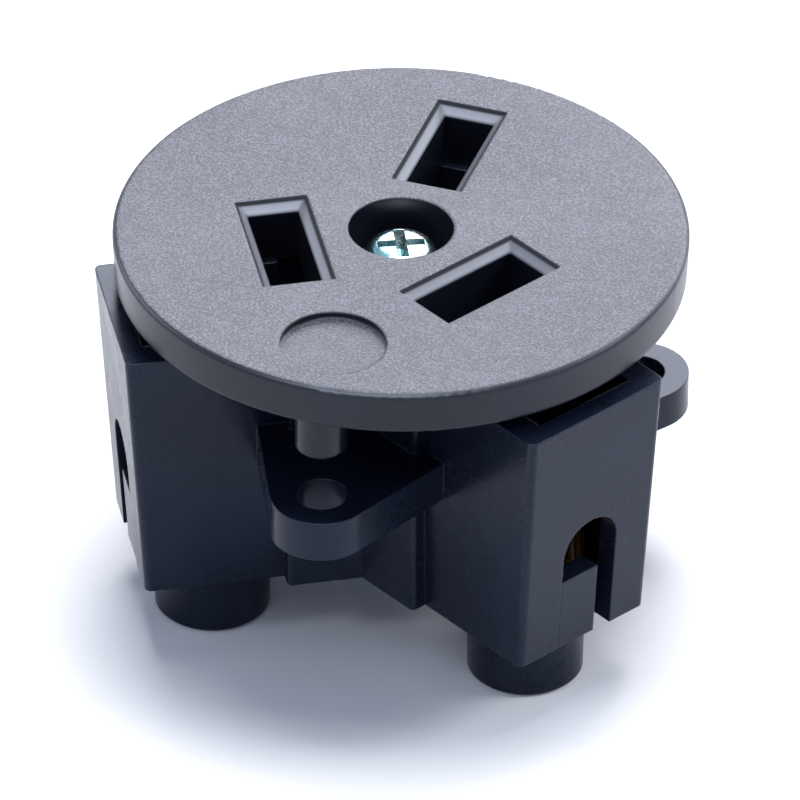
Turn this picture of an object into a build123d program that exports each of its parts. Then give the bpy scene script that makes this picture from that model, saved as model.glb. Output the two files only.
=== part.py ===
from build123d import *
from math import cos, radians, sin, tan
import os

# Power socket insert for plugs with three flat pins. Millimetres, +Z out of the
# panel towards the user, origin at the centre of the face that sits on the panel,
# +Y towards the earth slot.

# Directions of the arms, in degrees from +X
ARM_STEP = 120
EARTH_ANGLE = 90
NEUTRAL_ANGLE = EARTH_ANGLE + ARM_STEP
LIVE_ANGLE = EARTH_ANGLE + 2 * ARM_STEP

# Plug pins, and the slots that take them
PIN_WIDTH = 6.4
PIN_THICKNESS = 1.5
LINE_PIN_R = 7.92
EARTH_PIN_R = 10.31
SLOT_END_ROOM = 1.05
SLOT_SIDE_ROOM = 0.975
SLOT_BEVEL = 0.75
SLOT_BEVEL_ANGLE = 45
SLOT_COLLAR_WALL = 0.8
SLOT_LENGTH = PIN_WIDTH + 2 * SLOT_END_ROOM
SLOT_WIDTH = PIN_THICKNESS + 2 * SLOT_SIDE_ROOM

# Centre screw, its nut and the bosses round them
SCREW_R = 1.5
SCREW_HOLE_GAP = 0.2
SCREW_HEAD_R = 2.5
SCREW_HEAD_HEIGHT = 2.4
SCREW_HEAD_EDGE_R = 1.2
SCREW_HEAD_BELOW_FACE = 1.2
SCREW_TIP_CHAMFER = 0.3
CROSS_LENGTH = 3.2
CROSS_WIDTH = 0.75
CROSS_DEPTH = 1.5
CROSS_TAPER = 9
CROSS_TURN = 25
COUNTERBORE_ROOM = 1.05
BOSS_WALL = 1.25
NUT_FLATS = 5.5
NUT_HEIGHT = 2.4
NUT_CLEARANCE = 0.05
NUT_ROOF = 1.0
NUT_BOSS_WALL = 1.7
SCREW_HOLE_R = SCREW_R + SCREW_HOLE_GAP
COUNTERBORE_R = SCREW_HEAD_R + COUNTERBORE_ROOM
BOSS_R = COUNTERBORE_R + BOSS_WALL
NUT_BOSS_R = NUT_FLATS / 2 + NUT_CLEARANCE + NUT_BOSS_WALL

# Round cover, the panel that it clamps, and the pegs underneath
COVER_SEAT_R = 19.2
COVER_RIM_DRAFT = 0.13
COVER_THICKNESS = 3.0
COVER_EDGE_R = 0.35
PANEL_GAP = 1.5
MARK_RECESS_R = 3.55
MARK_RECESS_DEPTH = 0.48
MARK_RECESS_MARGIN = 1.55
PEG_R = 1.75
PEG_LENGTH = 3.8
PEG_EDGE = 0.3
FIXING_MARGIN = 2.7
COVER_TOP_R = COVER_SEAT_R + COVER_RIM_DRAFT
MARK_RECESS_AT = COVER_SEAT_R - MARK_RECESS_MARGIN - MARK_RECESS_R
FIXING_R = COVER_SEAT_R - FIXING_MARGIN

# Brass contacts: leaves, wings and tails
STRIP = 0.6
LEAF_MARGIN = 0.3
GRIP_PRESS = 0.15
LEAF_CLEARANCE = 0.15
MOUTH_SPREAD = 0.5
LEAF_BEND_R = 0.4
WING_HALF = 5.0
TAIL_HALF = 2.0
LANCE_GAP = 0.1
LEAF_HALF = PIN_WIDTH / 2 + LEAF_MARGIN
GRIP_HALF_GAP = PIN_THICKNESS / 2 - GRIP_PRESS
LEAF_HALF_GAP = PIN_THICKNESS / 2 + LEAF_CLEARANCE
LEAF_OUTER = LEAF_HALF_GAP + STRIP
MOUTH_OUTER = GRIP_HALF_GAP + STRIP + MOUTH_SPREAD

# Steel clips round the leaves
CLIP_STRIP = 0.35
CLIP_HEIGHT = 2.2
CLIP_BEND_R = 0.2
CLIP_LEG = 6.4
CLIP_GAP = 0.05
CLIP_OUTER = LEAF_HALF + CLIP_GAP + CLIP_STRIP

# Wire clamps, press plates and terminal screws
CLAMP_LENGTH = 4.4
CLAMP_SIDE = 1.0
CLAMP_ROOF = 1.2
CLAMP_FLOOR = 1.8
CLAMP_HEIGHT = 9.7
CLAMP_GAP = 0.1
TAIL_GAP = 0.2
PRESS_PLATE_THICKNESS = 0.7
PRESS_PLATE_MARGIN = 0.4
PRESS_PLATE_RISE = 0.3
PRESS_PLATE_CORNER_R = 0.35
TERMINAL_SCREW_R = 1.75
TERMINAL_HEAD_R = 2.65
TERMINAL_HEAD_HEIGHT = 2.0
TERMINAL_SHANK = 4.1
DRIVER_SLOT_WIDTH = 0.8
DRIVER_SLOT_DEPTH = 0.9
THREAD_GAP = 0.05
CLAMP_INNER_HALF = TAIL_HALF + TAIL_GAP
CLAMP_HALF = CLAMP_INNER_HALF + CLAMP_SIDE
PRESS_PLATE_LENGTH = CLAMP_LENGTH - 2 * PRESS_PLATE_MARGIN

# Chambers in the housing, measured along each arm from the centre
CHAMBER_SIDE_GAP = 0.05
CHAMBER_START_GAP = 0.92
EARTH_START_GAP = 0.41
EARTH_END_GAP = 0.19
DIVIDER_GAP = 0.38
DIVIDER_THICKNESS = 0.6
WING_END_GAP = 0.63
WING_SIDE_GAP = 0.4
CHAMBER_HALF = CLIP_OUTER + CHAMBER_SIDE_GAP
CHAMBER_START = LINE_PIN_R - LEAF_OUTER - CHAMBER_START_GAP
EARTH_CHAMBER_START = EARTH_PIN_R - CLIP_OUTER - EARTH_START_GAP
DIVIDER_START = LINE_PIN_R + MOUTH_OUTER + DIVIDER_GAP
EARTH_EXTRA_REACH = EARTH_PIN_R + LEAF_HALF + EARTH_END_GAP - DIVIDER_START
WING_POCKET_END = LINE_PIN_R - LEAF_HALF_GAP + WING_END_GAP
WING_POCKET_HALF = WING_HALF + WING_SIDE_GAP
CLAMP_START = DIVIDER_START + DIVIDER_THICKNESS + CLAMP_GAP
CLAMP_END = CLAMP_START + CLAMP_LENGTH
WELL_AT = CLAMP_START + CLAMP_LENGTH / 2

# Housing walls, and how far the arms stand out past the cover's seat
BODY_HEIGHT = 19.1
ARM_OVERHANG = 0.65
ARM_END_DRAFT = 1.3
ARM_WALL_TOP = 1.95
ARM_WALL_BOTTOM = 1.65
ARM_CORNER_R = 0.5
END_WALL = 1.5
SHOULDER_WALL = 1.35
SHOULDER_CORNER_R = 0.35
TAIL_PASSAGE_ROOM = 0.6
TAIL_PASSAGE_SIDE_ROOM = 0.3
ARM_TOP_REACH = COVER_SEAT_R + ARM_OVERHANG
ARM_BOTTOM_REACH = ARM_TOP_REACH - ARM_END_DRAFT
ARM_TOP_HALF = CHAMBER_HALF + ARM_WALL_TOP
ARM_BOTTOM_HALF = CHAMBER_HALF + ARM_WALL_BOTTOM
SHOULDER_REACH = WING_POCKET_END + SHOULDER_WALL
SHOULDER_HALF = WING_POCKET_HALF + SHOULDER_WALL

# Fixing ears between the arms
EAR_TIP_R = 3.4
EAR_HOLE_R = 1.75
EAR_HALF_ANGLE = 25
EAR_ROOT_DEPTH = 10.0
FRONT_EAR_DROP = 6.2
FRONT_EAR_THICKNESS = 3.0
SIDE_EAR_DROP = 9.5
SIDE_EAR_THICKNESS = 2.6

# Arched wire windows in the arm ends, partly closed by the bottom cover's tabs
WINDOW_R = 2.35
WINDOW_OFFSET = 0.1
WINDOW_RISE = 2.0
TAB_SILL = 0.8
TAB_OPEN_STRIP = 1.5
FIT_GAP = 0.05
TAB_WIDTH = 2 * WINDOW_R - TAB_OPEN_STRIP

# Bottom cover with the terminal wells
PLATE_THICKNESS = 1.4
PLATE_GAP = 0.1
WELL_HEAD_ROOM = 0.35
WELL_WALL_TOP = 1.0
WELL_WALL_BOTTOM = 0.9
WELL_DROP = 5.4
WELL_EDGE = 0.25
WELL_BORE_R = TERMINAL_HEAD_R + WELL_HEAD_ROOM

# Heights, from the panel gap down to the feet
HOUSING_TOP_Z = -PANEL_GAP
HOUSING_BOTTOM_Z = HOUSING_TOP_Z - BODY_HEIGHT
PLATE_TOP_Z = HOUSING_BOTTOM_Z + PLATE_THICKNESS
FLOOR_Z = HOUSING_BOTTOM_Z - WELL_DROP
SCREW_SEAT_Z = COVER_THICKNESS - SCREW_HEAD_BELOW_FACE - SCREW_HEAD_HEIGHT
SCREW_TIP_Z = PLATE_TOP_Z - NUT_ROOF - NUT_HEIGHT
PRESS_PLATE_BOTTOM_Z = PLATE_TOP_Z + CLAMP_FLOOR + PRESS_PLATE_RISE
CONTACT_SEAT_Z = PRESS_PLATE_BOTTOM_Z + PRESS_PLATE_THICKNESS
CONTACT_TOP_OF_BASE_Z = CONTACT_SEAT_Z + STRIP
TAB_TOP_Z = CONTACT_TOP_OF_BASE_Z + TAB_SILL
WINDOW_CENTRE_Z = TAB_TOP_Z + WINDOW_RISE

# Heights of the leaves, each step down from the housing's top
MOUTH_DROP = 2.5
LEAD_IN_HEIGHT = 1.6
GRIP_HEIGHT = 2.8
WIDEN_HEIGHT = 1.4
WING_DROP = 0.6
MOUTH_Z = HOUSING_TOP_Z - MOUTH_DROP
GRIP_TOP_Z = MOUTH_Z - LEAD_IN_HEIGHT
GRIP_BOTTOM_Z = GRIP_TOP_Z - GRIP_HEIGHT
LEAF_WIDEN_Z = GRIP_BOTTOM_Z - WIDEN_HEIGHT
WING_TOP_Z = LEAF_WIDEN_Z - WING_DROP

# Arm name, direction, extra reach, and the side of the wire window
ARMS = (
    ("live", LIVE_ANGLE, 0, 1),
    ("neutral", NEUTRAL_ANGLE, 0, -1),
    ("earth", EARTH_ANGLE, EARTH_EXTRA_REACH, 1),
)

# Ear direction, height of its top, and thickness
EARS = (
    (NEUTRAL_ANGLE + ARM_STEP / 2, HOUSING_TOP_Z - FRONT_EAR_DROP, FRONT_EAR_THICKNESS),
    (EARTH_ANGLE - ARM_STEP / 2, HOUSING_TOP_Z - SIDE_EAR_DROP, SIDE_EAR_THICKNESS),
    (EARTH_ANGLE + ARM_STEP / 2, HOUSING_TOP_Z - SIDE_EAR_DROP, SIDE_EAR_THICKNESS),
)


# Level plane whose x runs out along an arm
def arm_plan(angle, z=0.0):
    along = (cos(radians(angle)), sin(radians(angle)), 0)
    return Plane(origin=(0, 0, z), x_dir=along, z_dir=(0, 0, 1))


# Upright plane through an arm's middle, x out along the arm and y up
def arm_section(angle, reach=0.0):
    along = (cos(radians(angle)), sin(radians(angle)), 0)
    across = (sin(radians(angle)), -cos(radians(angle)), 0)
    origin = (reach * along[0], reach * along[1], 0)
    return Plane(origin=origin, x_dir=along, z_dir=across)


# Upright plane square to an arm, x across the arm and y up
def arm_end(angle, reach):
    along = (cos(radians(angle)), sin(radians(angle)), 0)
    across = (-sin(radians(angle)), cos(radians(angle)), 0)
    origin = (reach * along[0], reach * along[1], 0)
    return Plane(origin=origin, x_dir=across, z_dir=along)


os.makedirs("parts", exist_ok=True)

# The three slots in plan, with each side moved out by a margin
def slot_plan(margin):
    with BuildSketch() as plan:
        with PolarLocations(LINE_PIN_R, 2, start_angle=NEUTRAL_ANGLE, angular_range=2 * ARM_STEP):
            Rectangle(SLOT_WIDTH + 2 * margin, SLOT_LENGTH + 2 * margin)
        with Locations((0, EARTH_PIN_R)):
            Rectangle(SLOT_WIDTH + 2 * margin, SLOT_LENGTH + 2 * margin)
    return plan.sketch


# Round cover: slots with bevelled mouths and collars below, screw counterbore, bare recess, pegs
with BuildPart() as front_cover:
    Cone(COVER_SEAT_R, COVER_TOP_R, COVER_THICKNESS, align=(Align.CENTER, Align.CENTER, Align.MIN))
    fillet(front_cover.edges().group_by(Axis.Z)[-1], COVER_EDGE_R)
    with BuildSketch(Plane.XY.offset(-PANEL_GAP)):
        Circle(BOSS_R)
        add(slot_plan(SLOT_COLLAR_WALL))
    extrude(amount=PANEL_GAP)
    with BuildSketch(Plane.XY):
        with PolarLocations(FIXING_R, len(EARS), start_angle=EARTH_ANGLE - ARM_STEP / 2):
            Circle(PEG_R)
    extrude(amount=-PEG_LENGTH)
    chamfer(front_cover.edges().group_by(Axis.Z)[0], PEG_EDGE)
    with BuildSketch(Plane.XY.offset(COVER_THICKNESS)):
        add(slot_plan(0))
    extrude(amount=-COVER_THICKNESS - PANEL_GAP, mode=Mode.SUBTRACT)
    with BuildSketch(Plane.XY.offset(COVER_THICKNESS)):
        add(slot_plan(SLOT_BEVEL))
    extrude(amount=-SLOT_BEVEL, taper=SLOT_BEVEL_ANGLE, mode=Mode.SUBTRACT)
    with BuildSketch(Plane.XY.offset(COVER_THICKNESS)):
        Circle(COUNTERBORE_R)
    extrude(amount=SCREW_SEAT_Z - COVER_THICKNESS, mode=Mode.SUBTRACT)
    with BuildSketch(Plane.XY.offset(-PANEL_GAP)):
        Circle(SCREW_HOLE_R)
    extrude(amount=PANEL_GAP + SCREW_SEAT_Z, mode=Mode.SUBTRACT)
    with BuildSketch(Plane.XY.offset(COVER_THICKNESS)):
        with Locations((0, -MARK_RECESS_AT)):
            Circle(MARK_RECESS_R)
    extrude(amount=-MARK_RECESS_DEPTH, mode=Mode.SUBTRACT)
front_cover.part.label = "front_cover"
export_step(front_cover.part, "parts/front_cover.step")


# One drafted arm with its shoulder, drawn along +X
def arm_form(extra_reach):
    outlines = (
        (HOUSING_TOP_Z, ARM_TOP_REACH, ARM_TOP_HALF),
        (HOUSING_BOTTOM_Z, ARM_BOTTOM_REACH, ARM_BOTTOM_HALF),
    )
    with BuildPart() as form:
        for z, reach, half in outlines:
            with BuildSketch(Plane.XY.offset(z)) as outline:
                Rectangle(reach + extra_reach, 2 * half, align=(Align.MIN, Align.CENTER))
                fillet(outline.vertices().group_by(Axis.X)[-1], ARM_CORNER_R)
        loft(ruled=True)
    with BuildPart() as shoulder:
        with BuildSketch(Plane.XY.offset(HOUSING_BOTTOM_Z)) as outline:
            Rectangle(SHOULDER_REACH, 2 * SHOULDER_HALF, align=(Align.MIN, Align.CENTER))
            fillet(outline.vertices().group_by(Axis.X)[-1], SHOULDER_CORNER_R)
        extrude(amount=BODY_HEIGHT)
    return form.part + shoulder.part


# Space for the wire clamp, open above and below, with the end wall's draft
def terminal_chamber(extra_reach):
    start = DIVIDER_START + DIVIDER_THICKNESS + extra_reach
    with BuildPart() as chamber:
        for z, reach in ((HOUSING_TOP_Z, ARM_TOP_REACH), (HOUSING_BOTTOM_Z, ARM_BOTTOM_REACH)):
            with BuildSketch(Plane.XY.offset(z)):
                with Locations((start, 0)):
                    length = reach + extra_reach - END_WALL - start
                    Rectangle(length, 2 * CHAMBER_HALF, align=(Align.MIN, Align.CENTER))
        loft(ruled=True)
    return chamber.part


arm_solids = [arm_form(extra).rotate(Axis.Z, angle) for name, angle, extra, side in ARMS]
chamber_solids = [terminal_chamber(extra).rotate(Axis.Z, angle) for name, angle, extra, side in ARMS]

# Housing: three arms round a hub, three ears, chambers, wire windows and screw hole
with BuildPart() as base_housing:
    for solid in arm_solids:
        add(solid)
    ear_slant = radians(EAR_HALF_ANGLE)
    root_half = EAR_TIP_R / cos(ear_slant) + EAR_ROOT_DEPTH * tan(ear_slant)
    root_at = FIXING_R - EAR_ROOT_DEPTH
    for angle, top_z, thickness in EARS:
        with BuildSketch(arm_plan(angle, top_z)):
            with Locations((FIXING_R, 0)):
                Circle(EAR_TIP_R)
            with BuildLine():
                Line((root_at, -root_half), (root_at, root_half))
            make_hull()
        extrude(amount=-thickness)
        with BuildSketch(arm_plan(angle, top_z)):
            with Locations((FIXING_R, 0)):
                Circle(EAR_HOLE_R)
        extrude(amount=-thickness, mode=Mode.SUBTRACT)
    for solid in chamber_solids:
        add(solid, mode=Mode.SUBTRACT)
    for name, angle, extra, side in ARMS:
        start = EARTH_CHAMBER_START if extra else CHAMBER_START
        stop = DIVIDER_START + extra
        with BuildSketch(arm_plan(angle, HOUSING_TOP_Z)):
            with Locations((start, 0)):
                Rectangle(stop - start, 2 * CHAMBER_HALF, align=(Align.MIN, Align.CENTER))
                if not extra:
                    pocket_length = WING_POCKET_END - start
                    Rectangle(pocket_length, 2 * WING_POCKET_HALF, align=(Align.MIN, Align.CENTER))
        extrude(amount=CONTACT_SEAT_Z - HOUSING_TOP_Z, mode=Mode.SUBTRACT)
        with BuildSketch(arm_plan(angle, CONTACT_SEAT_Z)):
            with Locations((stop, 0)):
                passage_half = TAIL_HALF + TAIL_PASSAGE_SIDE_ROOM
                Rectangle(DIVIDER_THICKNESS, 2 * passage_half, align=(Align.MIN, Align.CENTER))
        extrude(amount=STRIP + TAIL_PASSAGE_ROOM, mode=Mode.SUBTRACT)
        plate_reach = ARM_BOTTOM_REACH + extra - END_WALL
        with BuildSketch(arm_plan(angle, HOUSING_BOTTOM_Z)):
            Rectangle(plate_reach, 2 * CHAMBER_HALF, align=(Align.MIN, Align.CENTER))
        extrude(amount=PLATE_THICKNESS, mode=Mode.SUBTRACT)
        window_reach = ARM_BOTTOM_REACH + extra - 2 * END_WALL
        with BuildSketch(arm_end(angle, window_reach)):
            with Locations((side * WINDOW_OFFSET, WINDOW_CENTRE_Z)):
                Circle(WINDOW_R)
                Rectangle(
                    2 * WINDOW_R,
                    WINDOW_CENTRE_Z - HOUSING_BOTTOM_Z,
                    align=(Align.CENTER, Align.MAX),
                )
        extrude(amount=ARM_TOP_REACH + extra - window_reach, mode=Mode.SUBTRACT)
    with BuildSketch(Plane.XY.offset(HOUSING_TOP_Z)):
        Circle(SCREW_HOLE_R)
    extrude(amount=-BODY_HEIGHT, mode=Mode.SUBTRACT)
base_housing.part.label = "base_housing"
export_step(base_housing.part, "parts/base_housing.step")

# Bottom cover: three-armed plate, terminal wells, nut boss and window tabs
with BuildPart() as bottom_cover:
    for name, angle, extra, side in ARMS:
        plate_reach = ARM_BOTTOM_REACH + extra - END_WALL - PLATE_GAP
        with BuildSketch(arm_plan(angle, HOUSING_BOTTOM_Z)):
            Rectangle(plate_reach, 2 * (CHAMBER_HALF - PLATE_GAP), align=(Align.MIN, Align.CENTER))
        extrude(amount=PLATE_THICKNESS)
        draft_per_mm = ARM_END_DRAFT / BODY_HEIGHT
        tab_foot = ARM_BOTTOM_REACH + extra - FIT_GAP
        tab_head = tab_foot + draft_per_mm * (TAB_TOP_Z - HOUSING_BOTTOM_Z)
        plate_head = tab_foot + draft_per_mm * PLATE_THICKNESS
        tab_edge = WINDOW_R - WINDOW_OFFSET - FIT_GAP
        tab_plane = arm_section(angle).offset(side * tab_edge)
        with BuildSketch(tab_plane):
            Polygon(
                (plate_reach - END_WALL, HOUSING_BOTTOM_Z),
                (tab_foot, HOUSING_BOTTOM_Z),
                (tab_head, TAB_TOP_Z),
                (tab_head - END_WALL, TAB_TOP_Z),
                (plate_head - END_WALL, PLATE_TOP_Z),
                (plate_reach - END_WALL, PLATE_TOP_Z),
                align=None,
            )
        extrude(amount=-side * TAB_WIDTH)
    for name, angle, extra, side in ARMS:
        with BuildSketch(arm_plan(angle, HOUSING_BOTTOM_Z)):
            with Locations((WELL_AT + extra, 0)):
                Circle(WELL_BORE_R + WELL_WALL_TOP)
        with BuildSketch(arm_plan(angle, FLOOR_Z)):
            with Locations((WELL_AT + extra, 0)):
                Circle(WELL_BORE_R + WELL_WALL_BOTTOM)
        loft()
    chamfer(bottom_cover.edges().group_by(Axis.Z)[0], WELL_EDGE)
    with BuildSketch(Plane.XY.offset(HOUSING_BOTTOM_Z)):
        Circle(NUT_BOSS_R)
    extrude(amount=SCREW_TIP_Z - HOUSING_BOTTOM_Z)
    for name, angle, extra, side in ARMS:
        with BuildSketch(arm_plan(angle, FLOOR_Z)):
            with Locations((WELL_AT + extra, 0)):
                Circle(WELL_BORE_R)
        extrude(amount=PLATE_TOP_Z - FLOOR_Z, mode=Mode.SUBTRACT)
    with BuildSketch(Plane.XY.offset(SCREW_TIP_Z)):
        RegularPolygon(NUT_FLATS / 2 + NUT_CLEARANCE, 6, major_radius=False)
    extrude(amount=NUT_HEIGHT, mode=Mode.SUBTRACT)
    with BuildSketch(Plane.XY.offset(PLATE_TOP_Z)):
        Circle(SCREW_HOLE_R)
    extrude(amount=SCREW_TIP_Z - PLATE_TOP_Z, mode=Mode.SUBTRACT)
bottom_cover.part.label = "bottom_cover"
export_step(bottom_cover.part, "parts/bottom_cover.step")

# Centre screw: domed pan head with a cross recess
with BuildPart() as centre_screw:
    with BuildSketch(Plane.XY.offset(SCREW_SEAT_Z)):
        Circle(SCREW_HEAD_R)
    extrude(amount=SCREW_HEAD_HEIGHT)
    fillet(centre_screw.edges().group_by(Axis.Z)[-1], SCREW_HEAD_EDGE_R)
    with BuildSketch(Plane.XY.offset(SCREW_SEAT_Z)):
        Circle(SCREW_R)
    extrude(amount=SCREW_TIP_Z - SCREW_SEAT_Z)
    chamfer(centre_screw.edges().group_by(Axis.Z)[0], SCREW_TIP_CHAMFER)
    with BuildSketch(Plane.XY.offset(SCREW_SEAT_Z + SCREW_HEAD_HEIGHT)):
        with PolarLocations(0, 2, start_angle=CROSS_TURN, angular_range=180):
            Rectangle(CROSS_LENGTH, CROSS_WIDTH)
    extrude(amount=-CROSS_DEPTH, taper=CROSS_TAPER, mode=Mode.SUBTRACT)
centre_screw.part.label = "centre_screw"
export_step(centre_screw.part, "parts/centre_screw.step")

# Nut, captive in the bottom cover's boss
with BuildPart() as centre_nut:
    with BuildSketch(Plane.XY.offset(SCREW_TIP_Z)):
        RegularPolygon(NUT_FLATS / 2, 6, major_radius=False)
        Circle(SCREW_R + THREAD_GAP, mode=Mode.SUBTRACT)
    extrude(amount=NUT_HEIGHT)
centre_nut.part.label = "centre_nut"
export_step(centre_nut.part, "parts/centre_nut.step")


# Centre line of a folded contact, x across the pin's thickness and y up
def leaf_line():
    grip = GRIP_HALF_GAP + STRIP / 2
    wide = LEAF_HALF_GAP + STRIP / 2
    mouth = grip + MOUTH_SPREAD
    base = CONTACT_SEAT_Z + STRIP / 2
    right = [(wide, base), (wide, LEAF_WIDEN_Z), (grip, GRIP_BOTTOM_Z), (grip, GRIP_TOP_Z), (mouth, MOUTH_Z)]
    left = [(-x, y) for x, y in reversed(right)]
    return left + right


# Live and neutral contacts: leaves square to the arm, side wings, tail lanced outwards
for name, angle, extra, side in ARMS[:2]:
    inner_face = LINE_PIN_R - LEAF_OUTER
    straight_z = CONTACT_SEAT_Z + STRIP / 2 + LEAF_BEND_R
    with BuildPart() as contact:
        with BuildSketch(arm_section(angle, LINE_PIN_R)):
            with BuildLine():
                FilletPolyline(*leaf_line(), radius=LEAF_BEND_R)
            trace(line_width=STRIP)
        extrude(amount=LEAF_HALF, both=True)
        with BuildSketch(arm_plan(angle, straight_z)):
            with Locations((inner_face, 0)):
                Rectangle(STRIP, 2 * WING_HALF, align=(Align.MIN, Align.CENTER))
        extrude(amount=WING_TOP_Z - straight_z)
        with BuildSketch(arm_plan(angle, CONTACT_TOP_OF_BASE_Z)):
            with Locations((LINE_PIN_R + GRIP_HALF_GAP, 0)):
                Rectangle(LEAF_OUTER, 2 * (TAIL_HALF + LANCE_GAP), align=(Align.MIN, Align.CENTER))
        extrude(amount=CLAMP_END - LINE_PIN_R - LEAF_OUTER, mode=Mode.SUBTRACT)
        with BuildSketch(arm_plan(angle, CONTACT_SEAT_Z)):
            with Locations((LINE_PIN_R, 0)):
                Rectangle(CLAMP_END - LINE_PIN_R, 2 * TAIL_HALF, align=(Align.MIN, Align.CENTER))
        extrude(amount=STRIP)
    contact.part.label = f"{name}_contact"
    export_step(contact.part, f"parts/{name}_contact.step")

# Earth contact: leaves along the arm, tail straight on from the base
with BuildPart() as earth_contact:
    with BuildSketch(arm_end(EARTH_ANGLE, EARTH_PIN_R)):
        with BuildLine():
            FilletPolyline(*leaf_line(), radius=LEAF_BEND_R)
        trace(line_width=STRIP)
    extrude(amount=LEAF_HALF, both=True)
    earth_tail = CLAMP_END + EARTH_EXTRA_REACH - EARTH_PIN_R
    with BuildSketch(arm_plan(EARTH_ANGLE, CONTACT_SEAT_Z)):
        with Locations((EARTH_PIN_R, 0)):
            Rectangle(earth_tail, 2 * (LEAF_OUTER - LEAF_BEND_R), align=(Align.MIN, Align.CENTER))
    extrude(amount=STRIP)
earth_contact.part.label = "earth_contact"
export_step(earth_contact.part, "parts/earth_contact.step")

# Spring clips: open steel bands that press the leaves together at their grip
for name, angle, extra, side in ARMS:
    pin_r = EARTH_PIN_R if extra else LINE_PIN_R
    turn = 90 if extra else 0
    centre = arm_plan(angle).from_local_coords((pin_r, 0, 0))
    heading = radians(angle + turn)
    leg = GRIP_HALF_GAP + STRIP + CLIP_STRIP / 2
    web = LEAF_HALF + CLIP_GAP + CLIP_STRIP / 2
    with BuildPart() as clip:
        clip_plane = Plane(
            origin=(centre.X, centre.Y, GRIP_BOTTOM_Z + (GRIP_TOP_Z - GRIP_BOTTOM_Z - CLIP_HEIGHT) / 2),
            x_dir=(cos(heading), sin(heading), 0),
            z_dir=(0, 0, 1),
        )
        with BuildSketch(clip_plane):
            with BuildLine():
                FilletPolyline(
                    (-leg, web - CLIP_LEG),
                    (-leg, web),
                    (leg, web),
                    (leg, web - CLIP_LEG),
                    radius=CLIP_BEND_R,
                )
            trace(line_width=CLIP_STRIP)
        extrude(amount=CLIP_HEIGHT)
    clip.part.label = f"{name}_spring_clip"
    export_step(clip.part, f"parts/{name}_spring_clip.step")

# Clamp cages: brass boxes open along the arm, threaded floor below and roof above
for name, angle, extra, side in ARMS:
    with BuildPart() as clamp:
        with BuildSketch(arm_plan(angle, PLATE_TOP_Z)):
            with Locations((CLAMP_START + extra, 0)):
                Rectangle(CLAMP_LENGTH, 2 * CLAMP_HALF, align=(Align.MIN, Align.CENTER))
        extrude(amount=CLAMP_HEIGHT)
        with BuildSketch(arm_plan(angle, PLATE_TOP_Z + CLAMP_FLOOR)):
            with Locations((CLAMP_START + extra, 0)):
                Rectangle(CLAMP_LENGTH, 2 * CLAMP_INNER_HALF, align=(Align.MIN, Align.CENTER))
        extrude(amount=CLAMP_HEIGHT - CLAMP_FLOOR - CLAMP_ROOF, mode=Mode.SUBTRACT)
        with BuildSketch(arm_plan(angle, PLATE_TOP_Z)):
            with Locations((WELL_AT + extra, 0)):
                Circle(TERMINAL_SCREW_R + THREAD_GAP)
        extrude(amount=CLAMP_FLOOR, mode=Mode.SUBTRACT)
    clamp.part.label = f"{name}_clamp"
    export_step(clamp.part, f"parts/{name}_clamp.step")

# Press plates: what the screw tips push up against the contact tails
for name, angle, extra, side in ARMS:
    with BuildPart() as press_plate:
        with BuildSketch(arm_plan(angle, PRESS_PLATE_BOTTOM_Z)):
            with Locations((WELL_AT + extra, 0)):
                Rectangle(PRESS_PLATE_LENGTH, 2 * TAIL_HALF)
        extrude(amount=PRESS_PLATE_THICKNESS)
        fillet(press_plate.edges().filter_by(Axis.Z), PRESS_PLATE_CORNER_R)
    press_plate.part.label = f"{name}_press_plate"
    export_step(press_plate.part, f"parts/{name}_press_plate.step")

# Terminal screws: cheese heads down in the wells, tips on the press plates
for name, angle, extra, side in ARMS:
    head_top_z = PRESS_PLATE_BOTTOM_Z - TERMINAL_SHANK
    with BuildPart() as terminal_screw:
        with BuildSketch(arm_plan(angle, PRESS_PLATE_BOTTOM_Z)):
            with Locations((WELL_AT + extra, 0)):
                Circle(TERMINAL_SCREW_R)
        extrude(amount=-TERMINAL_SHANK)
        with BuildSketch(arm_plan(angle, head_top_z)):
            with Locations((WELL_AT + extra, 0)):
                Circle(TERMINAL_HEAD_R)
        extrude(amount=-TERMINAL_HEAD_HEIGHT)
        with BuildSketch(arm_plan(angle, head_top_z - TERMINAL_HEAD_HEIGHT)):
            with Locations((WELL_AT + extra, 0)):
                Rectangle(DRIVER_SLOT_WIDTH, 2 * TERMINAL_HEAD_R)
        extrude(amount=DRIVER_SLOT_DEPTH, mode=Mode.SUBTRACT)
    terminal_screw.part.label = f"{name}_terminal_screw"
    export_step(terminal_screw.part, f"parts/{name}_terminal_screw.step")
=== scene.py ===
# A three-pin power socket insert, standing on its terminal wells on a white table.
from math import cos, radians, sin

import bpy
from mathutils import Matrix, Vector


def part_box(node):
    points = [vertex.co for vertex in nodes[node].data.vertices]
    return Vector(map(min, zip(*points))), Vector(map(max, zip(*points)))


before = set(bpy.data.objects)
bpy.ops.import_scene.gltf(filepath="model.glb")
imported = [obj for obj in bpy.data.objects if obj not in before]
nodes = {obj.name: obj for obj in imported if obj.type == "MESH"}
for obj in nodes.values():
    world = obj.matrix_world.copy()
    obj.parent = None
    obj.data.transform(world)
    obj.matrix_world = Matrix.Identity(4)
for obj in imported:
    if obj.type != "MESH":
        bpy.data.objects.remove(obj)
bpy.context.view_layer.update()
mm = 0.001

# Camera
# A long lens, slightly turned, on the side and at the height from which the socket was seen.
azimuth = radians(18.335)
elevation = radians(34.80)
roll = radians(0.398)
distance = 893 * mm
pixels = 800
focal_pixels = 13351
face_pixel_x = 401.04
face_pixel_y = 227.76
face_centre = Vector((0, 0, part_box("front_cover")[1].z))
centre_right = (face_pixel_x - pixels / 2) / focal_pixels * distance
centre_up = (pixels / 2 - face_pixel_y) / focal_pixels * distance

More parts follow.
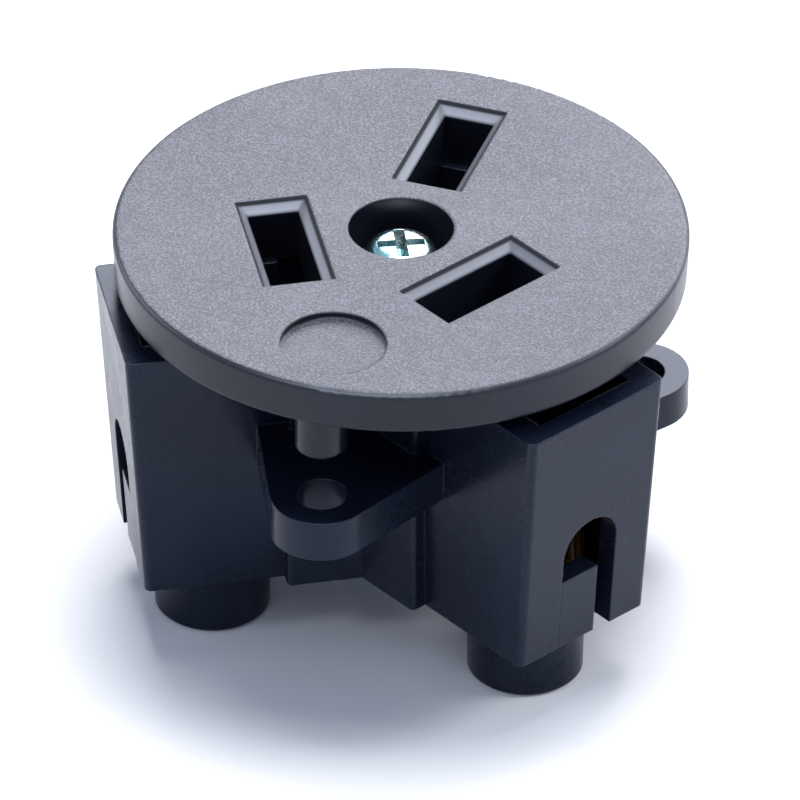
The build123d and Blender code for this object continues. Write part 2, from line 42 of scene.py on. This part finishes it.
back = Vector((sin(azimuth) * cos(elevation), -cos(azimuth) * cos(elevation), sin(elevation)))
level = Vector((cos(azimuth), sin(azimuth), 0))
upward = back.cross(level)
right = level * cos(roll) + upward * sin(roll)
up = upward * cos(roll) - level * sin(roll)

camera_data = bpy.data.cameras.new("camera")
camera_data.sensor_width = 36
camera_data.lens = camera_data.sensor_width * focal_pixels / pixels
camera_data.clip_start = 0.1
camera_data.clip_end = 10
camera = bpy.data.objects.new("camera", camera_data)
camera.location = face_centre + back * distance
aim = face_centre - right * centre_right - up * centre_up
forward = (aim - camera.location).normalized()
side = forward.cross(up).normalized()
turned = Matrix((side, side.cross(forward), -forward)).transposed()
camera.rotation_euler = turned.to_euler()
bpy.context.scene.collection.objects.link(camera)
bpy.context.scene.camera = camera


# Table
# One wide sheet of white paper under the socket's feet. It keeps the soft shadow, and it is
# what the housing's upright walls mirror.
def new_material(name):
    material = bpy.data.materials.new(name)
    material.use_nodes = True
    material.node_tree.nodes.clear()
    return material, material.node_tree.nodes, material.node_tree.links


paper_white = (0.95, 0.95, 0.95, 1)
table_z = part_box("bottom_cover")[0].z
table_half = 1.6

table_mesh = bpy.data.meshes.new("table")
table_mesh.from_pydata(
    [
        (-table_half, -table_half, table_z),
        (table_half, -table_half, table_z),
        (table_half, table_half, table_z),
        (-table_half, table_half, table_z),
    ],
    [],
    [(0, 1, 2, 3)],
)
table = bpy.data.objects.new("table", table_mesh)
bpy.context.scene.collection.objects.link(table)

material, made, link = new_material("table")
output = made.new("ShaderNodeOutputMaterial")
paper = made.new("ShaderNodeBsdfDiffuse")
paper.inputs["Color"].default_value = paper_white
link.new(paper.outputs[0], output.inputs["Surface"])
table_mesh.materials.append(material)

# Light
# A soft box almost overhead, whose shadow falls under the cover, a smaller one at the right and
# two weak ones in front. Four more only skim the surfaces: the broad one behind brings out the
# cover's grain, and the strips draw bright lines on the slots' bevels. The room is pale blue.
middle = Vector((0, 0, -12 * mm))
strip_colour = (0.88, 0.92, 1.0)


def soft_box(name, place, width, height, watts, colour):
    lamp = bpy.data.lights.new(name, "AREA")
    lamp.shape = "RECTANGLE"
    lamp.size = width
    lamp.size_y = height
    lamp.energy = watts
    lamp.color = colour
    box = bpy.data.objects.new(name, lamp)
    box.location = place
    box.rotation_euler = (middle - Vector(place)).to_track_quat("-Z", "Y").to_euler()
    bpy.context.scene.collection.objects.link(box)
    return box


soft_box("top_box", (-0.020, 0.102, 0.58), 0.28, 0.28, 4.3, (0.96, 0.97, 1.0))
soft_box("right_box", (0.387, 0.140, 0.28), 0.20, 0.20, 1.2, (0.95, 0.97, 1.0))
soft_box("fill_box", (0.099, -0.299, 0.45), 0.30, 0.30, 0.30, (0.70, 0.77, 1.0))
soft_box("front_box", (-0.23, -0.29, 0.33), 0.09, 0.09, 0.24, (0.84, 0.89, 1.0))
skimming = [
    soft_box("back_box", (0.020, 0.445, 0.33), 0.55, 0.45, 6.5, (0.95, 0.93, 1.0)),
    soft_box("front_strip", (0.065, -0.332, 0.43), 0.60, 0.22, 6.0, strip_colour),
    soft_box("left_strip", (-0.508, 0.044, 0.20), 0.40, 0.26, 1.4, strip_colour),
    soft_box("far_strip", (0.312, 0.430, 0.13), 0.24, 0.16, 0.7, strip_colour),
]
for box in skimming:
    box.visible_diffuse = False

world = bpy.data.worlds.new("room")
world.use_nodes = True
bpy.context.scene.world = world
room = world.node_tree.nodes
room_link = world.node_tree.links
room.clear()
world_output = room.new("ShaderNodeOutputWorld")
paths = room.new("ShaderNodeLightPath")


def glow(colour, strength):
    background = room.new("ShaderNodeBackground")
    background.inputs["Color"].default_value = colour
    background.inputs["Strength"].default_value = strength
    return background.outputs[0]


def where(ray, otherwise, lit):
    choice = room.new("ShaderNodeMixShader")
    room_link.new(paths.outputs[ray], choice.inputs["Fac"])
    room_link.new(otherwise, choice.inputs[1])
    room_link.new(lit, choice.inputs[2])
    return choice.outputs[0]


ambient = glow((0.66, 0.74, 1.0, 1), 0.38)
mirrored = glow((0.80, 0.87, 1.0, 1), 1.5)
white = glow((1, 1, 1, 1), 1.0)
seen = where("Is Glossy Ray", ambient, mirrored)
seen = where("Is Camera Ray", seen, white)
room_link.new(seen, world_output.inputs["Surface"])
bpy.context.scene.view_settings.view_transform = "Standard"

# Front cover
# One disc of charcoal plastic, held by the centre screw. Its mould is spark-eroded on the face,
# which gives a fine even grain. The rim is smoother. The slots' bevels carry a painted highlight
# on their lower part and a painted dark line, also rougher, along their upper edge.
face_z = face_centre.z
bevel_depth = 0.75 * mm
bevel_foot_z = face_z - bevel_depth
bevel_slope = cos(radians(45))
slots_reach = 17.0 * mm
rim_start = 17.5 * mm
cover_edge_radius = 0.30 * mm
edge_samples = 6
grain_scale = 5600
mottle_scale = 900
cover_cloud_scale = 90
pit_depth = 0.035 * mm
fine_depth = 0.004 * mm
extra_face_roughness = 0.13
cover_specular = 0.30
cover_specular_tint = (0.86, 0.92, 1.0, 1)

# A Mix node's sockets that carry a colour
mix_colour_a, mix_colour_b, mix_colour_out = 6, 7, 2


def new_finish(name):
    material, made, link = new_material(name)
    output = made.new("ShaderNodeOutputMaterial")
    finish = made.new("ShaderNodeBsdfPrincipled")
    link.new(finish.outputs[0], output.inputs["Surface"])
    place = made.new("ShaderNodeTexCoord").outputs["Object"]
    return material, made, link, finish, place


def value_noise(made, link, coordinates, scale, detail, roughness):
    noise = made.new("ShaderNodeTexNoise")
    noise.inputs["Scale"].default_value = scale
    noise.inputs["Detail"].default_value = detail
    noise.inputs["Roughness"].default_value = roughness
    link.new(coordinates, noise.inputs["Vector"])
    return noise.outputs["Fac"]


def spread(made, link, source, low, high, to_low, to_high):
    part = made.new("ShaderNodeMapRange")
    part.inputs["From Min"].default_value = low
    part.inputs["From Max"].default_value = high
    part.inputs["To Min"].default_value = to_low
    part.inputs["To Max"].default_value = to_high
    link.new(source, part.inputs["Value"])
    return part.outputs["Result"]


def combine(made, link, operation, first, second, third=None):
    step = made.new("ShaderNodeMath")
    step.operation = operation
    for socket, value in zip(step.inputs, (first, second, third)):
        if isinstance(value, float):
            socket.default_value = value
        elif value is not None:
            link.new(value, socket)
    return step.outputs[0]


def tint(made, link, source, stops):
    ramp = made.new("ShaderNodeValToRGB")
    ramp.color_ramp.elements[0].position, ramp.color_ramp.elements[0].color = stops[0]
    ramp.color_ramp.elements[1].position, ramp.color_ramp.elements[1].color = stops[-1]
    for position, colour in stops[1:-1]:
        ramp.color_ramp.elements.new(position).color = colour
    link.new(source, ramp.inputs["Fac"])
    return ramp.outputs["Color"]


def blend(made, link, share, first, second):
    mix = made.new("ShaderNodeMix")
    mix.data_type = "RGBA"
    link.new(share, mix.inputs["Factor"])
    link.new(first, mix.inputs[mix_colour_a])
    link.new(second, mix.inputs[mix_colour_b])
    return mix.outputs[mix_colour_out]


def bump(made, link, height, depth, strength, under):
    relief = made.new("ShaderNodeBump")
    relief.inputs["Distance"].default_value = depth
    relief.inputs["Strength"].default_value = strength
    link.new(height, relief.inputs["Height"])
    link.new(under, relief.inputs["Normal"])
    return relief.outputs["Normal"]


def rounded_edges(made, radius):
    edge = made.new("ShaderNodeBevel")
    edge.samples = edge_samples
    edge.inputs["Radius"].default_value = radius
    return edge.outputs["Normal"]


def dress(node, material):
    mesh = nodes[node].data
    mesh.materials.clear()
    mesh.materials.append(material)


material, made, link, plastic, place = new_finish("cover_plastic")
surface = made.new("ShaderNodeNewGeometry")
facing = made.new("ShaderNodeSeparateXYZ")
link.new(surface.outputs["True Normal"], facing.inputs[0])
height = made.new("ShaderNodeSeparateXYZ")
link.new(surface.outputs["Position"], height.inputs[0])
reach = made.new("ShaderNodeVectorMath")
reach.operation = "LENGTH"
link.new(surface.outputs["Position"], reach.inputs[0])

face = spread(made, link, facing.outputs["Z"], 0.90, 0.98, 0.0, 1.0)
sloping = combine(made, link, "COMPARE", facing.outputs["Z"], bevel_slope, 0.1)
inside = spread(made, link, reach.outputs["Value"], slots_reach, rim_start, 1.0, 0.0)
bevel = combine(made, link, "MULTIPLY", sloping, inside)
rise = spread(made, link, height.outputs["Z"], bevel_foot_z, face_z, 0.0, 1.0)

grain = value_noise(made, link, place, grain_scale, 2.0, 0.7)
mottle = value_noise(made, link, place, mottle_scale, 3.0, 0.55)
cloud = value_noise(made, link, place, cover_cloud_scale, 2.0, 0.5)
mottled = spread(made, link, mottle, 0.3, 0.7, -0.03, 0.03)
eroded = tint(
    made,
    link,
    combine(made, link, "ADD", grain, mottled),
    [
        (0.36, (0.003, 0.003, 0.005, 1)),
        (0.50, (0.028, 0.029, 0.038, 1)),
        (0.64, (0.092, 0.095, 0.115, 1)),
    ],
)
smooth = tint(
    made,
    link,
    cloud,
    [(0.35, (0.004, 0.005, 0.010, 1)), (0.65, (0.007, 0.008, 0.015, 1))],
)
# Painted highlight on the lower part of the slots' bevels, ending in a painted shade line along
# their upper edge
painted_bevel_light_and_shade = tint(
    made,
    link,
    rise,
    [
        (0.00, (0.050, 0.052, 0.062, 1)),
        (0.22, (0.170, 0.176, 0.200, 1)),
        (0.60, (0.130, 0.135, 0.155, 1)),
        (0.76, (0.001, 0.001, 0.002, 1)),
    ],
)
skin = blend(made, link, bevel, smooth, painted_bevel_light_and_shade)
link.new(blend(made, link, face, skin, eroded), plastic.inputs["Base Color"])

gloss = spread(made, link, cloud, 0.3, 0.7, 0.27, 0.33)
gloss = combine(made, link, "MULTIPLY_ADD", face, extra_face_roughness, gloss)
dull_line = spread(made, link, rise, 0.66, 0.76, 0.0, 0.6)
gloss = combine(made, link, "MULTIPLY_ADD", bevel, dull_line, gloss)
link.new(gloss, plastic.inputs["Roughness"])
plastic.inputs["Specular IOR Level"].default_value = cover_specular
plastic.inputs["Specular Tint"].default_value = cover_specular_tint

pits = combine(made, link, "MULTIPLY", grain, face)
edges = rounded_edges(made, cover_edge_radius)
fine = bump(made, link, grain, fine_depth, 0.3, edges)
link.new(bump(made, link, pits, pit_depth, 0.8, fine), plastic.inputs["Normal"])
dress("front_cover", material)

# Housing and bottom cover
# Two black mouldings with a satin surface, the lower one let into the upper one's underside.
# They have faint flow clouds from the moulding, fine scuffs from handling, and edges that the
# mould rounded.
housing_edge_radius = 0.16 * mm
housing_cloud_scale = 130
skin_scale = 2600
skin_depth = 0.012 * mm
scuff_scale = 1100
scuff_depth = 0.01 * mm
housing_specular = 0.22
housing_specular_tint = (0.70, 0.82, 1.0, 1)

material, made, link, plastic, place = new_finish("housing_plastic")
skin = value_noise(made, link, place, skin_scale, 3.0, 0.6)
cloud = value_noise(made, link, place, housing_cloud_scale, 3.0, 0.55)
scuff = value_noise(made, link, place, scuff_scale, 3.0, 0.6)
black = tint(
    made,
    link,
    cloud,
    [
        (0.30, (0.004, 0.006, 0.014, 1)),
        (0.55, (0.006, 0.009, 0.020, 1)),
        (0.80, (0.009, 0.012, 0.027, 1)),
    ],
)
link.new(black, plastic.inputs["Base Color"])
satin = spread(made, link, cloud, 0.3, 0.7, 0.24, 0.32)
scuffed = spread(made, link, scuff, 0.45, 0.75, -0.01, 0.04)
link.new(combine(made, link, "ADD", satin, scuffed), plastic.inputs["Roughness"])
plastic.inputs["Specular IOR Level"].default_value = housing_specular
plastic.inputs["Specular Tint"].default_value = housing_specular_tint
edges = rounded_edges(made, housing_edge_radius)
worn = bump(made, link, scuff, scuff_depth, 0.04, edges)
link.new(bump(made, link, skin, skin_depth, 0.15, worn), plastic.inputs["Normal"])
dress("base_housing", material)
dress("bottom_cover", material)

# Screws, nut and press plates
# The centre screw and its nut clamp the cover to the housing, and each terminal screw drives a
# small plate down on its wire. They are steel with bright zinc plating, whose thin clear film
# shifts between blue, green and straw.
film_scale = 420
crystal_scale = 6000
crystal_depth = 0.01 * mm
zinc_edge_radius = 0.06 * mm

material, made, link, metal, place = new_finish("zinc_plate")
metal.inputs["Metallic"].default_value = 1.0
film = value_noise(made, link, place, film_scale, 2.0, 0.5)
crystal = value_noise(made, link, place, crystal_scale, 2.0, 0.55)
zinc = tint(
    made,
    link,
    film,
    [
        (0.34, (0.08, 0.20, 0.23, 1)),
        (0.46, (0.24, 0.36, 0.37, 1)),
        (0.56, (0.42, 0.46, 0.45, 1)),
        (0.68, (0.54, 0.50, 0.50, 1)),
    ],
)
link.new(zinc, metal.inputs["Base Color"])
link.new(spread(made, link, crystal, 0.3, 0.7, 0.16, 0.30), metal.inputs["Roughness"])
edges = rounded_edges(made, zinc_edge_radius)
link.new(bump(made, link, crystal, crystal_depth, 0.3, edges), metal.inputs["Normal"])
for node in nodes:
    if node.endswith("screw") or node.endswith("press_plate") or node == "centre_nut":
        dress(node, material)

# Contacts and wire clamps
# Brass strip, stamped and folded. The contacts stand in the housing under the slots, and the
# clamps sit round their tails. Rolling lines run along the strip, with light tarnish in patches.
rolling_scale = 3800
rolling_stretch = (1, 1, 0.05)
rolling_depth = 0.008 * mm
tarnish_scale = 260
brass_edge_radius = 0.05 * mm

material, made, link, metal, place = new_finish("contact_brass")
metal.inputs["Metallic"].default_value = 1.0
stretch = made.new("ShaderNodeMapping")
stretch.inputs["Scale"].default_value = rolling_stretch
link.new(place, stretch.inputs["Vector"])
rolling = value_noise(made, link, stretch.outputs["Vector"], rolling_scale, 3.0, 0.6)
tarnish = value_noise(made, link, place, tarnish_scale, 4.0, 0.6)
brass = tint(
    made,
    link,
    tarnish,
    [
        (0.30, (0.26, 0.14, 0.06, 1)),
        (0.50, (0.48, 0.29, 0.12, 1)),
        (0.72, (0.68, 0.46, 0.21, 1)),
    ],
)
link.new(brass, metal.inputs["Base Color"])
link.new(spread(made, link, rolling, 0.3, 0.7, 0.22, 0.38), metal.inputs["Roughness"])
edges = rounded_edges(made, brass_edge_radius)
link.new(bump(made, link, rolling, rolling_depth, 0.35, edges), metal.inputs["Normal"])
for node in nodes:
    if node.endswith("_contact") or node.endswith("_clamp"):
        dress(node, material)

# Spring clips
# Bands of hardened steel strip, clipped round the contacts' leaves to press them on the pins.
# They are blue-grey from tempering and ground along their length.
temper_scale = 300
ground_scale = 7000
ground_depth = 0.006 * mm
steel_edge_radius = 0.04 * mm

material, made, link, metal, place = new_finish("spring_steel")
metal.inputs["Metallic"].default_value = 1.0
temper = value_noise(made, link, place, temper_scale, 3.0, 0.55)
ground = value_noise(made, link, place, ground_scale, 2.0, 0.5)
steel = tint(
    made,
    link,
    temper,
    [
        (0.30, (0.26, 0.28, 0.33, 1)),
        (0.52, (0.40, 0.41, 0.44, 1)),
        (0.74, (0.50, 0.47, 0.43, 1)),
    ],
)
link.new(steel, metal.inputs["Base Color"])
link.new(spread(made, link, ground, 0.3, 0.7, 0.26, 0.42), metal.inputs["Roughness"])
edges = rounded_edges(made, steel_edge_radius)
link.new(bump(made, link, ground, ground_depth, 0.3, edges), metal.inputs["Normal"])
for node in nodes:
    if node.endswith("_spring_clip"):
        dress(node, material)
